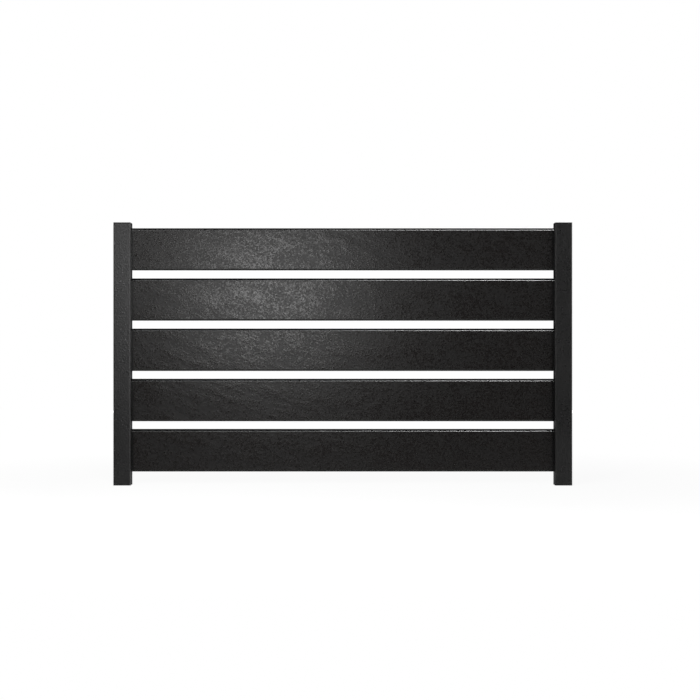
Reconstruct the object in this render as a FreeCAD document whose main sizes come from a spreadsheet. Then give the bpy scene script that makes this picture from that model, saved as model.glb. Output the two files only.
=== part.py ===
import FreeCAD, Part
import math
import os
import re

import Sketcher

# One bay of a low composite fence: five hollow boards slid into the slots of two extruded posts.
# X runs along the fence, the front is -Y, Z is up, and the origin is on the ground midway between the posts.

BOARD_COUNT = 5
BOARD_CHAMBERS = 6
SIDES = {"left": -1, "right": 1}

# Driving dimensions in millimetres
SIZES = {
    "bay_centres": 1800,
    "ground_clearance": 54,
    "spacer_height": 39.5,
    "top_reveal": 16,
    "post_size": 70,
    "post_corner": 4,
    "post_wall": 2.2,
    "chamber_corner": 3,
    "core_corner": 1,
    "core_width": 6,
    "slot_wall": 3,
    "mouth_round": 0.8,
    "groove_inset": 5.5,
    "groove_width": 2,
    "groove_depth": 1.2,
    "port_inset": 6.5,
    "port_radius": 2.6,
    "port_wall": 2.6,
    "port_mouth": 2.2,
    "board_thickness": 20,
    "board_face": 166,
    "drip_rise": 10,
    "nose_round": 4,
    "arris_round": 2,
    "board_wall": 4.5,
    "board_web": 5,
    "expansion_gap": 4,
    "gasket_thickness": 2,
    "gasket_width": 9,
    "gasket_inset": 1,
    "gasket_lip": 1,
    "block_recess": 1,
    "block_wall": 2.5,
    "cap_thickness": 4,
    "cap_edge": 1,
    "plug_depth": 12,
    "plug_wall": 2,
    "plug_corner": 2.5,
    "plug_clearance": 0.2,
    "cover_wall": 2,
    "cover_leg": 10,
    "bead_relief": 0.2,
    "screw_radius": 2.1,
    "screw_reach": 4,
    "screw_point": 4,
    "screw_tip_radius": 0.3,
    "head_radius": 4,
    "head_height": 2.8,
    "head_bevel": 1.2,
    "head_sink": 3,
    "head_clearance": 0.5,
    "screw_clearance": 0.2,
    "pilot_clearance": 0.05,
    "screw_boss": 7,
}

# Levels and half widths worked out from the driving dimensions
BOARD_PITCH = "(board_face + spacer_height)"
TOP_BOARD = f"(ground_clearance + {BOARD_COUNT - 1} * {BOARD_PITCH})"
POST_TOP = f"({TOP_BOARD} + board_face + drip_rise + top_reveal)"
POST_HALF = "(post_size / 2)"
BOARD_HALF = "(board_thickness / 2)"
SLOT_HALF = "(board_thickness / 2 + gasket_thickness)"
CORE_HALF = "(core_width / 2)"
SLOT_BACK = "(core_width / 2 + slot_wall)"
GROOVE_OUTER = "(post_size / 2 - groove_inset + groove_width / 2)"
GROOVE_INNER = "(post_size / 2 - groove_inset - groove_width / 2)"
GROOVE_FLOOR = "(board_thickness / 2 + gasket_thickness + groove_depth)"
CHAMBER_OUTER = "(post_size / 2 - post_wall)"
CHAMBER_INNER = "(board_thickness / 2 + gasket_thickness + slot_wall)"
PORT_CENTRE = "(post_size / 2 - port_inset)"
PORT_BOSS = "(port_radius + port_wall)"
BLOCK_DEPTH = f"({POST_HALF} - {SLOT_BACK} - block_recess)"
REST_SCREW = "(ground_clearance / 2)"
RETAINER_SCREW = f"({POST_TOP} - (top_reveal + drip_rise / 2) / 2)"
SCREW_LENGTH = f"({BLOCK_DEPTH} - head_sink + slot_wall + screw_reach)"
BOARD_CHAMBER = f"((board_face - {BOARD_CHAMBERS + 1} * board_web) / {BOARD_CHAMBERS})"

doc = FreeCAD.newDocument("composite_fence")


def size_sheet():
    """The sheet that holds the driving dimensions, one alias to a row."""
    sheet = doc.addObject("Spreadsheet::Sheet", "Sizes")
    for row, (alias, value) in enumerate(SIZES.items(), start=1):
        sheet.set(f"A{row}", alias)
        sheet.set(f"B{row}", str(value))
        sheet.setAlias(f"B{row}", alias)
    doc.recompute()


def from_sheet(words):
    """An expression whose sizes are read from the sheet."""
    return re.sub(r"[a-z]\w*", lambda size: "Sizes." + size.group(), words)


def bind(target, path, words):
    """Tie one property to the sheet."""
    target.setExpression(path, from_sheet(words))


def place(target, across="0", depth="0", up="0", turned=0, axis=(0, 0, 1)):
    """Turn an object about an axis, then tie its position to the sheet."""
    target.Placement.Rotation = FreeCAD.Rotation(FreeCAD.Vector(*axis), turned)
    for path, words in (("x", across), ("y", depth), ("z", up)):
        bind(target, ".Placement.Base." + path, words)


def new_body(node):
    """An empty body named after its node."""
    return doc.addObject("PartDesign::Body", node)


def datum(body, role):
    """One of a body's own origin planes or axes."""
    return next(item for item in body.Origin.OriginFeatures if item.Role == role)


def new_sketch(body, name, plane):
    """An empty sketch on one of the body's origin planes."""
    sketch = body.newObject("Sketcher::SketchObject", name)
    sketch.AttachmentSupport = [(datum(body, plane), "")]
    sketch.MapMode = "FlatFace"
    return sketch


def point_at(sketch, across, up):
    """The present position of a corner given in words."""
    return FreeCAD.Vector(
        float(sketch.evalExpression(from_sheet(across))),
        float(sketch.evalExpression(from_sheet(up))),
        0,
    )


def hold(sketch, constraint, words):
    """Add a dimension to a sketch and tie it to the sheet."""
    index = sketch.addConstraint(constraint)
    name = f"size_{index}"
    sketch.renameConstraint(index, name)
    bind(sketch, "Constraints." + name, words)


def fix_point(sketch, geometry, end, across, up):
    """Dimension a point from the sketch's origin, or lay it on an axis where a coordinate is nought."""
    place_now = point_at(sketch, across, up)
    for kind, words, value, axis in (
        ("DistanceX", across, place_now.x, -2),
        ("DistanceY", up, place_now.y, -1),
    ):
        if words == "0":
            sketch.addConstraint(Sketcher.Constraint("PointOnObject", geometry, end, axis))
        else:
            hold(sketch, Sketcher.Constraint(kind, -1, 1, geometry, end, value), words)


def corner_arc(before, corner, after, radius):
    """A rounding arc, its two tangent points, and whether it runs the same way as the outline."""
    inward = (before - corner).normalize()
    outward = (after - corner).normalize()
    half_angle = inward.getAngle(outward) / 2
    reach = radius / math.tan(half_angle)
    start = corner + inward * reach
    finish = corner + outward * reach
    centre = corner + (inward + outward).normalize() * (radius / math.sin(half_angle))
    same_way = outward.cross(inward).z > 0
    first, last = (start, finish) if same_way else (finish, start)
    angles = [math.atan2(end.y - centre.y, end.x - centre.x) for end in (first, last)]
    if angles[1] < angles[0]:
        angles[1] += 2 * math.pi
    circle = Part.Circle(centre, FreeCAD.Vector(0, 0, 1), radius)
    return Part.ArcOfCircle(circle, *angles), start, finish, same_way


def add_outline(sketch, corners):
    """A closed outline whose corners are (across, up), or (across, up, rounding) where they are round."""
    points = [point_at(sketch, *corner[:2]) for corner in corners]
    count = len(corners)
    arcs = {}
    starts = list(points)
    finishes = list(points)
    for i, corner in enumerate(corners):
        if len(corner) == 3:
            radius = float(sketch.evalExpression(from_sheet(corner[2])))
            arc, finishes[i], starts[i], same_way = corner_arc(
                points[i - 1], points[i], points[(i + 1) % count], radius
            )
            arcs[i] = sketch.addGeometry(arc), (1, 2) if same_way else (2, 1), radius
    lines = [
        sketch.addGeometry(Part.LineSegment(starts[i], finishes[(i + 1) % count])) for i in range(count)
    ]
    for i, corner in enumerate(corners):
        coming, leaving = lines[i - 1], lines[i]
        if i not in arcs:
            sketch.addConstraint(Sketcher.Constraint("Coincident", coming, 2, leaving, 1))
            fix_point(sketch, leaving, 1, *corner)
            continue
        arc, (first, last), radius = arcs[i]
        tip = sketch.addGeometry(Part.Point(points[i]), True)
        sketch.addConstraint(Sketcher.Constraint("Tangent", coming, 2, arc, first))
        sketch.addConstraint(Sketcher.Constraint("Tangent", arc, last, leaving, 1))
        sketch.addConstraint(Sketcher.Constraint("PointOnObject", tip, 1, coming))
        sketch.addConstraint(Sketcher.Constraint("PointOnObject", tip, 1, leaving))
        fix_point(sketch, tip, 1, *corner[:2])
        hold(sketch, Sketcher.Constraint("Radius", arc, radius), corner[2])


def outlines(body, name, plane, *loops):
    """A sketch of one or more closed outlines."""
    sketch = new_sketch(body, name, plane)
    for corners in loops:
        add_outline(sketch, corners)
    return sketch


def circles(body, name, plane, centres, radius):
    """A sketch of equal circles."""
    sketch = new_sketch(body, name, plane)
    for across, up in centres:
        centre = point_at(sketch, across, up)
        radius_now = float(sketch.evalExpression(from_sheet(radius)))
        circle = sketch.addGeometry(Part.Circle(centre, FreeCAD.Vector(0, 0, 1), radius_now))
        fix_point(sketch, circle, 3, across, up)
        hold(sketch, Sketcher.Constraint("Radius", circle, radius_now), radius)
    return sketch


def rectangle(left, right, bottom, top, *rounding):
    """The corners of a rectangle, all with the same rounding if one is given."""
    corners = ((left, bottom), (right, bottom), (right, top), (left, top))
    return [(*corner, *rounding) for corner in corners]


def minus(words):
    """The same size on the other side of an axis."""
    return f"-({words})"


def pad(body, sketch, length, side="One side", reverse=False):
    """Solid material on a sketch."""
    feature = body.newObject("PartDesign::Pad", sketch.Name + "_pad")
    feature.Profile = sketch
    feature.SideType = side
    feature.Reversed = reverse
    bind(feature, "Length", length)
    doc.recompute()
    return feature


def cut(body, sketch, depth=None, side="One side", reverse=True):
    """A cut from a sketch towards its normal, right through where no depth is given."""
    feature = body.newObject("PartDesign::Pocket", sketch.Name + "_cut")
    feature.Profile = sketch
    feature.SideType = side
    feature.Reversed = reverse
    if depth is None:
        feature.Type = "ThroughAll"
    else:
        bind(feature, "Length", depth)
    doc.recompute()
    return feature


def at_post(target, side, facing_bay=True, up="0"):
    """Stand a piece drawn with its slot on +X at a post, with that slot to the bay or away from it."""
    turn = 0 if (side == "left") == facing_bay else 180
    place(target, across=f"{SIDES[side]} * bay_centres / 2", up=up, turned=turn)


def slope_at(level, depth):
    """Height of a bevel at a depth from the board's middle plane; it starts at the front face."""
    return f"({level} + drip_rise * ({depth} / board_thickness + 0.5))"


def bevelled(front, back, bottom, top):
    """A board section's corners: both edges rise to the back by the drip slope."""
    return [
        (front, slope_at(bottom, front)),
        (back, slope_at(bottom, back)),
        (back, slope_at(top, back)),
        (front, slope_at(top, front)),
    ]


def make_post(side):
    """A square extrusion with a board slot on two sides, three chambers and four screw ports."""
    body = new_body(f"{side}_post")
    half_turn = [
        (POST_HALF, minus(POST_HALF), "post_corner"),
        (POST_HALF, minus(SLOT_HALF), "mouth_round"),
        (GROOVE_OUTER, minus(SLOT_HALF)),
        (GROOVE_OUTER, minus(GROOVE_FLOOR)),
        (GROOVE_INNER, minus(GROOVE_FLOOR)),
        (GROOVE_INNER, minus(SLOT_HALF)),
        (SLOT_BACK, minus(SLOT_HALF)),
        (SLOT_BACK, SLOT_HALF),
        (GROOVE_INNER, SLOT_HALF),
        (GROOVE_INNER, GROOVE_FLOOR),
        (GROOVE_OUTER, GROOVE_FLOOR),
        (GROOVE_OUTER, SLOT_HALF),
        (POST_HALF, SLOT_HALF, "mouth_round"),
        (POST_HALF, POST_HALF, "post_corner"),
    ]
    other_half = [(minus(across), minus(up), *rounding) for across, up, *rounding in half_turn]
    section = outlines(body, f"{side}_post_section", "XY_Plane", half_turn + other_half)
    pad(body, section, POST_TOP)

    wide = (minus(CHAMBER_OUTER), CHAMBER_OUTER)
    chambers = outlines(
        body,
        f"{side}_post_chambers",
        "XY_Plane",
        rectangle(*wide, minus(CHAMBER_OUTER), minus(CHAMBER_INNER), "chamber_corner"),
        rectangle(*wide, CHAMBER_INNER, CHAMBER_OUTER, "chamber_corner"),
        rectangle(minus(CORE_HALF), CORE_HALF, minus(SLOT_HALF), SLOT_HALF, "core_corner"),
    )
    cut(body, chambers)

    spots = (minus(PORT_CENTRE), PORT_CENTRE)
    ports = [(across, up) for across in spots for up in spots]
    pad(body, circles(body, f"{side}_post_bosses", "XY_Plane", ports, PORT_BOSS), POST_TOP)
    cut(body, circles(body, f"{side}_post_ports", "XY_Plane", ports, "port_radius"))
    boss_inner = f"({PORT_CENTRE} - {PORT_BOSS} - port_mouth)"
    mouths = [
        rectangle(*across, f"{up} - port_mouth / 2", f"{up} + port_mouth / 2")
        for across in ((minus(PORT_CENTRE), minus(boss_inner)), (boss_inner, PORT_CENTRE))
        for up in spots
    ]
    cut(body, outlines(body, f"{side}_post_mouths", "XY_Plane", *mouths))

    levels = [("0", REST_SCREW), ("0", RETAINER_SCREW)]
    pilots = circles(body, f"{side}_post_pilots", "YZ_Plane", levels, "screw_radius + pilot_clearance")
    cut(body, pilots, SLOT_BACK)
    at_post(body, side)
    return body


def make_cap(side):
    """A flush cap with a broken top edge and two hollow plugs between the screw ports."""
    body = new_body(f"{side}_post_cap")
    square = rectangle(minus(POST_HALF), POST_HALF, minus(POST_HALF), POST_HALF, "post_corner")
    plate = pad(body, outlines(body, f"{side}_cap_plate", "XY_Plane", square), "cap_thickness")
    top = max(range(len(plate.Shape.Faces)), key=lambda i: plate.Shape.Faces[i].CenterOfMass.z)
    edge = body.newObject("PartDesign::Chamfer", f"{side}_cap_edge")
    edge.Base = (plate, [f"Face{top + 1}"])
    bind(edge, "Size", "cap_edge")
    doc.recompute()

    reach = f"({PORT_CENTRE} - {PORT_BOSS} - plug_clearance)"
    near = f"({CHAMBER_INNER} + plug_clearance)"
    far = f"({CHAMBER_OUTER} - plug_clearance)"
    plugs = []
    for low, high in ((near, far), (minus(far), minus(near))):
        plugs.append(rectangle(minus(reach), reach, low, high, "plug_corner"))
        plugs.append(
            rectangle(
                f"-({reach} - plug_wall)",
                f"({reach} - plug_wall)",
                f"({low} + plug_wall)",
                f"({high} - plug_wall)",
            )
        )
    pad(body, outlines(body, f"{side}_cap_plugs", "XY_Plane", *plugs), "plug_depth", reverse=True)
    at_post(body, side, up=POST_TOP)
    return body


def make_board(number):
    """A hollow board, bevelled to shed water to the front; board 1 is the top one."""
    body = new_body(f"board_{number}")
    front, back = minus(BOARD_HALF), BOARD_HALF
    bottom_front, bottom_back, top_back, top_front = bevelled(front, back, "0", "board_face")
    section = [
        (*bottom_front, "arris_round"),
        (*bottom_back, "arris_round"),
        (*top_back, "arris_round"),
        (*top_front, "nose_round"),
    ]
    length = f"bay_centres - 2 * {SLOT_BACK} - 2 * expansion_gap"
    pad(body, outlines(body, f"board_{number}_section", "YZ_Plane", section), length, "Symmetric")

    inner_front = f"(board_wall - {BOARD_HALF})"
    inner_back = f"({BOARD_HALF} - board_wall)"
    chamber = bevelled(inner_front, inner_back, "board_web", f"(board_web + {BOARD_CHAMBER})")
    hollow = cut(body, outlines(body, f"board_{number}_chamber", "YZ_Plane", chamber), side="Symmetric")
    row = body.newObject("PartDesign::LinearPattern", f"board_{number}_chambers")
    row.Originals = [hollow]
    row.Direction = (datum(body, "Z_Axis"), [""])
    row.Mode = "Spacing"
    row.Occurrences = BOARD_CHAMBERS
    bind(row, "Offset", f"{BOARD_CHAMBER} + board_web")
    body.Tip = row
    place(body, up=f"ground_clearance + {BOARD_COUNT - number} * {BOARD_PITCH}")
    doc.recompute()
    return body


def block(body, name, corners):
    """A block that fills a slot from its back wall to just inside its mouth."""
    pad(body, outlines(body, name, "YZ_Plane", corners), BLOCK_DEPTH)


def at_slot(body, side, up="0"):
    """Set a block's hidden end on the back wall of the slot that faces the bay."""
    turn = 0 if side == "left" else 180
    place(body, across=f"{SIDES[side]} * (bay_centres / 2 - {SLOT_BACK})", up=up, turned=turn)


def slot_section(side, corners):
    """Corners given for the left post, mirrored where the block is turned for the right one."""
    if side == "left":
        return corners
    return [(minus(across), up, *rounding) for across, up, *rounding in corners]


def counterbore(body, name, level):
    """A screw hole along the slot, sunk for the head at the end that faces the bay."""
    centre = [("0", level)]
    hole = circles(body, f"{name}_hole", "YZ_Plane", centre, "screw_radius + screw_clearance")
    cut(body, hole)
    sink = circles(body, f"{name}_sink", "YZ_Plane", centre, "head_radius + head_clearance")
    bind(sink, ".AttachmentOffset.Base.z", BLOCK_DEPTH)
    cut(body, sink, "head_sink", reverse=False)


def make_spacer(side, number):
    """A moulded spacer between two boards, hollow behind, with a rib across its middle."""
    body = new_body(f"{side}_gap_spacer_{number}")
    front, back = minus(BOARD_HALF), BOARD_HALF
    corners = bevelled(front, back, "0", "spacer_height")
    block(body, f"{body.Name}_section", slot_section(side, corners))

    inner_front = f"(block_wall - {BOARD_HALF})"
    inner_back = f"({BOARD_HALF} - block_wall)"
    rib_low = "((spacer_height - block_wall) / 2)"
    rib_high = "((spacer_height + block_wall) / 2)"
    lower = bevelled(inner_front, inner_back, "block_wall", rib_low)
    upper = bevelled(inner_front, inner_back, rib_high, "(spacer_height - block_wall)")
    pockets = outlines(
        body, f"{body.Name}_pockets", "YZ_Plane", slot_section(side, lower), slot_section(side, upper)
    )
    cut(body, pockets, f"{BLOCK_DEPTH} - block_wall")
    at_slot(body, side, up=f"ground_clearance + {BOARD_COUNT - 1 - number} * {BOARD_PITCH} + board_face")
    return body


def make_rest(side):
    """The block that carries the lowest board, hollow behind above and below its screw."""
    body = new_body(f"{side}_board_rest")
    front, back = minus(BOARD_HALF), BOARD_HALF
    corners = [
        (front, "0"),
        (back, "0"),
        (back, slope_at("ground_clearance", back)),
        (front, slope_at("ground_clearance", front)),
    ]
    block(body, f"{body.Name}_section", slot_section(side, corners))

    inner_front = f"(block_wall - {BOARD_HALF})"
    inner_back = f"({BOARD_HALF} - block_wall)"
    lower = rectangle(inner_front, inner_back, "block_wall", f"({REST_SCREW} - screw_boss)")
    upper = [
        (inner_front, f"({REST_SCREW} + screw_boss)"),
        (inner_back, f"({REST_SCREW} + screw_boss)"),
        (inner_back, slope_at("(ground_clearance - block_wall)", inner_back)),
        (inner_front, slope_at("(ground_clearance - block_wall)", inner_front)),
    ]
    pockets = outlines(
        body, f"{body.Name}_pockets", "YZ_Plane", slot_section(side, lower), slot_section(side, upper)
    )
    cut(body, pockets, f"{BLOCK_DEPTH} - block_wall")
    counterbore(body, body.Name, REST_SCREW)
    at_slot(body, side)
    return body


def make_retainer(side):
    """The block that keeps the top board down, between its bevel and the cap."""
    body = new_body(f"{side}_top_retainer")
    front, back = minus(BOARD_HALF), BOARD_HALF
    board_top = f"({TOP_BOARD} + board_face)"
    corners = [
        (front, slope_at(board_top, front)),
        (back, slope_at(board_top, back)),
        (back, POST_TOP),
        (front, POST_TOP),
    ]
    block(body, f"{body.Name}_section", slot_section(side, corners))
    counterbore(body, body.Name, RETAINER_SCREW)
    at_slot(body, side)
    return body


def make_gasket(side, face):
    """A sealing strip with a foot in the slot's groove and a lip rounded for the board to slide in."""
    body = new_body(f"{side}_{face}_gasket")
    outer = f"({POST_HALF} - gasket_inset)"
    inner = f"({POST_HALF} - gasket_inset - gasket_width)"
    strip = [
        (inner, SLOT_HALF),
        (GROOVE_INNER, SLOT_HALF),
        (GROOVE_INNER, GROOVE_FLOOR),
        (GROOVE_OUTER, GROOVE_FLOOR),
        (GROOVE_OUTER, SLOT_HALF),
        (outer, SLOT_HALF),
        (outer, BOARD_HALF, "gasket_lip"),
        (inner, BOARD_HALF),
    ]
    if (face == "front") == (side == "left"):
        strip = [(across, minus(up), *rounding) for across, up, *rounding in strip]
    pad(body, outlines(body, f"{body.Name}_section", "XY_Plane", strip), POST_TOP)
    at_post(body, side)
    return body


def make_cover(side):
    """A channel strip that closes the unused outer slot, held by a bead in each groove."""
    body = new_body(f"{side}_slot_cover")
    bead = f"({GROOVE_FLOOR} - bead_relief)"
    leg_end = f"({POST_HALF} - cover_leg)"
    inside = f"({SLOT_HALF} - cover_wall)"
    rear = [
        (POST_HALF, SLOT_HALF),
        (GROOVE_OUTER, SLOT_HALF),
        (GROOVE_OUTER, bead),
        (GROOVE_INNER, bead),
        (GROOVE_INNER, SLOT_HALF),
        (leg_end, SLOT_HALF),
        (leg_end, inside),
        (f"({POST_HALF} - cover_wall)", inside),
    ]
    front = [(across, minus(up)) for across, up in reversed(rear)]
    pad(body, outlines(body, f"{body.Name}_section", "XY_Plane", rear + front), POST_TOP)
    at_post(body, side, facing_bay=False)
    return body


def make_screws():
    """The four pan-head screws that hold the rests and the retainers to the posts."""
    screw = new_body("retaining_screw")
    outline = [
        ("0", "head_height"),
        ("0", minus(SCREW_LENGTH)),
        ("screw_tip_radius", minus(SCREW_LENGTH)),
        ("screw_radius", f"screw_point - {SCREW_LENGTH}"),
        ("screw_radius", "0"),
        ("head_radius", "0"),
        ("head_radius", "head_height - head_bevel"),
        ("head_radius - head_bevel", "head_height"),
    ]
    sketch = outlines(screw, "screw_section", "XZ_Plane", outline)
    turned = screw.newObject("PartDesign::Revolution", "screw_turned")
    turned.Profile = sketch
    turned.ReferenceAxis = (sketch, ["V_Axis"])
    turned.Angle = 360
    seat = f"(bay_centres / 2 - {SLOT_BACK} - {BLOCK_DEPTH} + head_sink)"
    copies = []
    for side, sign in SIDES.items():
        for level in (REST_SCREW, RETAINER_SCREW):
            copy = doc.addObject("App::Link", f"{side}_screw_{len(copies)}")
            copy.LinkedObject = screw
            place(copy, across=f"{sign} * {seat}", up=level, turned=-90 * sign, axis=(0, 1, 0))
            copies.append(copy)
    group = doc.addObject("Part::Compound", "retaining_screws")
    group.Links = copies
    return group


def check(nodes):
    """Stop before writing if anything failed, came out empty or cut nothing."""
    for item in doc.Objects:
        if {"Invalid", "Error"} & set(item.State):
            raise RuntimeError(f"{item.Label} failed: {item.State}")
        if item.TypeId == "PartDesign::Pocket" and item.Shape.Volume >= item.BaseFeature.Shape.Volume:
            raise RuntimeError(f"{item.Label} cuts nothing")
    for node in nodes:
        if node.Shape.isNull() or not node.Shape.isValid():
            raise RuntimeError(f"{node.Label} has no valid shape")


def main():
    size_sheet()
    nodes = [make_board(number) for number in range(1, BOARD_COUNT + 1)]
    for side in SIDES:
        nodes += [make_post(side), make_cap(side), make_rest(side), make_retainer(side), make_cover(side)]
        nodes += [make_gasket(side, face) for face in ("front", "rear")]
        nodes += [make_spacer(side, number) for number in range(1, BOARD_COUNT)]
    nodes.append(make_screws())
    doc.recompute()
    check(nodes)
    os.makedirs("parts", exist_ok=True)
    for node in nodes:
        node.Shape.exportStep(f"parts/{node.Label}.step")
        box = node.Shape.BoundBox
        print(
            f"{node.Label}: {len(node.Shape.Solids)} solid, volume {node.Shape.Volume:.0f}, "
            f"x {box.XMin:.1f} to {box.XMax:.1f}, y {box.YMin:.1f} to {box.YMax:.1f}, "
            f"z {box.ZMin:.1f} to {box.ZMax:.1f}"
        )


main()
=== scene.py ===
"""Dresses the packed fence bay: embossed boards, coated posts, small parts, screws and a plain studio."""

import math

import bpy
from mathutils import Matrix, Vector


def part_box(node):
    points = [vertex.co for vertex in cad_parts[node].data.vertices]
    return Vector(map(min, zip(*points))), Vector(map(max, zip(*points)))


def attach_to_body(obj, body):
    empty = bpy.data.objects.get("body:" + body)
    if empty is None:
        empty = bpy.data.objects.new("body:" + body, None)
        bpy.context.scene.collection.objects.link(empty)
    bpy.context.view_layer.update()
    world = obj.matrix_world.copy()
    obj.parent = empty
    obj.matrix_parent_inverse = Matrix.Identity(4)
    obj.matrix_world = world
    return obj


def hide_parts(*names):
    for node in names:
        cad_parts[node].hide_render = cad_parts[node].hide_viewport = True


bl_info = {
    "name": "Composite Fence Bay",
    "version": (1, 0, 0),
    "blender": (4, 5, 0),
    "location": "3D View > Sidebar > Fence",
    "description": "Dresses the CAD fence bay with embossed boards, real finishes, screws and a studio",
    "category": "Object",
}

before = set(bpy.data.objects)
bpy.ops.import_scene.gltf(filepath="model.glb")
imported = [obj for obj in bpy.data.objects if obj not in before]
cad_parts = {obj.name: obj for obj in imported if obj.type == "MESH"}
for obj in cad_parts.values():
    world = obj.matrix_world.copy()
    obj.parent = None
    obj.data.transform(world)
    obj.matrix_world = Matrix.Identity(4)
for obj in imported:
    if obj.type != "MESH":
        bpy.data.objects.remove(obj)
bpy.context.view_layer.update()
MM = 0.001
BOARDS = tuple(f"board_{number}" for number in range(1, 6))
SIDES = ("left", "right")

# Numbers of sockets that share a name with others on their node
FLOAT_A, FLOAT_B = 2, 3
WHOLE_A, WHOLE_B = 2, 3
COLOUR_A, COLOUR_B, COLOUR_OUT = 6, 7, 2

# Mesh of a board, with insets measured from its upper and lower edges
NOSE_CORNER = 0
CORNER_FACETS = 8
SECTION_STEP = 3 * MM
STATION_STEP = 5 * MM
ROUND_FLATNESS = 0.97
FACE_FLATNESS = 0.9995
RELIEF_INSET = 9 * MM
# Painted shade line along the lower edge of each broad face
SHADE_LINE_INSET = 6 * MM
SHADE_LINE_FADE = 8 * MM
PLAIN_END = 26 * MM
SEED_STEP = 7.3
BOARD_WELD = 0.02 * MM

# Finish of a board, with the painted shade at its ends measured from the middle of the bay
END_SHADE_START = 853 * MM
END_SHADE_FULL = 859 * MM
CLOUD_SIZE = (160 * MM, 110 * MM, 70 * MM)
CLOUD_TILT = 0.35
SPECK_SIZE = 7 * MM
CLUMP_SIZE = 50 * MM
CLOUD_RELIEF = 1.8
SPECK_RELIEF = 0.5
MARGIN_ROUGHNESS = 0.6
EDGE_ROUGHNESS = 0.28

# Finish of the posts and the small parts
DRIFT_SIZE = 140 * MM
PEEL_RELIEF = 1.2 * MM
GRIT_RELIEF = 0.06 * MM
SHEEN_SPREAD = 0.05
SMEAR_SIZE = 1.5 * MM

# Mesh of a screw
SHANK_CORNER = 4
ROUND_FACETS = 32
ROWS_PER_THREAD = 6.0
AXIS_RADIUS = 0.001 * MM
AXIS_WELD = 0.01 * MM
THREAD_START = 1.5 * MM
THREAD_SHARE = 0.98
BLADE_ROOT = 0.4
BLADE_DEPTH = 1.2
BLADE_WIDTH = 0.3

# Stage in metres
FLOOR_HALF = 9
GLOW_NEAR = 1.2
GLOW_FAR = 2.6
ROOM_HALF = 6.0
ROOM_DEPTH = 8.4
ROOM_HEIGHT = 6.5
MAT_HALF = 2.4
MAT_LIFT = 0.001
CARD_LIFT = 0.0005
KEY = {"size": (0.6, 0.6), "spot": (-0.42, -2.7, 0.92), "aim": (-0.31, 0.0, 0.83)}
KICKER = {"size": (0.5, 0.5), "spot": (-1.6, -2.7, 1.6), "aim": (-0.95, 0.0, 1.0)}
STRIP = {"size": (4.0, 1.1), "spot": (0.6, -0.62, 3.7), "aim": (0.6, -0.62, 0.0)}
CAMERA_SPOT = (0.0293, -7.335, 0.552)
SENSOR_WIDTH = 36.0


# Colour and node helpers


def linear(code):
    """Turn an sRGB hex code into linear red, green, blue and alpha."""
    values = []
    for start in (1, 3, 5):
        level = int(code[start:start + 2], 16) / 255
        values.append(level / 12.92 if level <= 0.04045 else ((level + 0.055) / 1.055) ** 2.4)
    return (*values, 1.0)


def add(tree, kind, inputs=None, **settings):
    """Add a node with its settings, fill its inputs with values or links and give its first output."""
    node = tree.nodes.new(kind)
    for name, value in settings.items():
        setattr(node, name, value)
    for key, value in (inputs or {}).items():
        if isinstance(value, bpy.types.NodeSocket):
            tree.links.new(value, node.inputs[key])
        else:
            node.inputs[key].default_value = value
    return next((socket for socket in node.outputs if socket.enabled), node)


def start_material(name, **constants):
    """Start a material with constant shader sockets; give it, its tree, shader and coordinates."""
    material = bpy.data.materials.new(name)
    material.use_nodes = True
    tree = material.node_tree
    shader = tree.nodes["Principled BSDF"]
    for socket, value in constants.items():
        shader.inputs[socket.replace("_", " ")].default_value = value
    place = add(tree, "ShaderNodeTexCoord").node.outputs["Object"]
    return material, tree, shader, place


def start_tree(name, inputs):
    """A new Geometry Nodes tree with named inputs; gives the tree and its input sockets by name."""
    tree = bpy.data.node_groups.new(name, "GeometryNodeTree")
    for title, kind in inputs.items():
        tree.interface.new_socket(title, in_out="INPUT", socket_type=f"NodeSocket{kind}")
    tree.interface.new_socket("Geometry", in_out="OUTPUT", socket_type="NodeSocketGeometry")
    source = tree.nodes.new("NodeGroupInput")
    return tree, {title: source.outputs[title] for title in inputs}


def grow(name, tree, values):
    """Run a tree on a new object and leave the result there as a plain mesh."""
    piece = bpy.data.objects.new(name, bpy.data.meshes.new(name))
    bpy.context.scene.collection.objects.link(piece)
    modifier = piece.modifiers.new("Grow", "NODES")
    modifier.node_group = tree
    for item in tree.interface.items_tree:
        if item.in_out == "INPUT":
            modifier[item.identifier] = values[item.name]
    graph = bpy.context.evaluated_depsgraph_get()
    mesh = bpy.data.meshes.new_from_object(piece.evaluated_get(graph), depsgraph=graph)
    piece.modifiers.remove(modifier)
    piece.data = mesh
    mesh.name = name
    if not mesh.polygons:
        raise RuntimeError(f"{name} grew no faces")
    return piece


def attach(piece, slot, *nodes):
    """Let a piece stand for its CAD nodes on the one fixed body."""
    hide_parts(*nodes)
    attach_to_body(piece, "root")


def finish_nodes(material, names):
    """Give CAD nodes whose shape is kept a finish."""
    for name in names:
        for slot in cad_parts[name].material_slots:
            slot.material = material


# What a user would change


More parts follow.
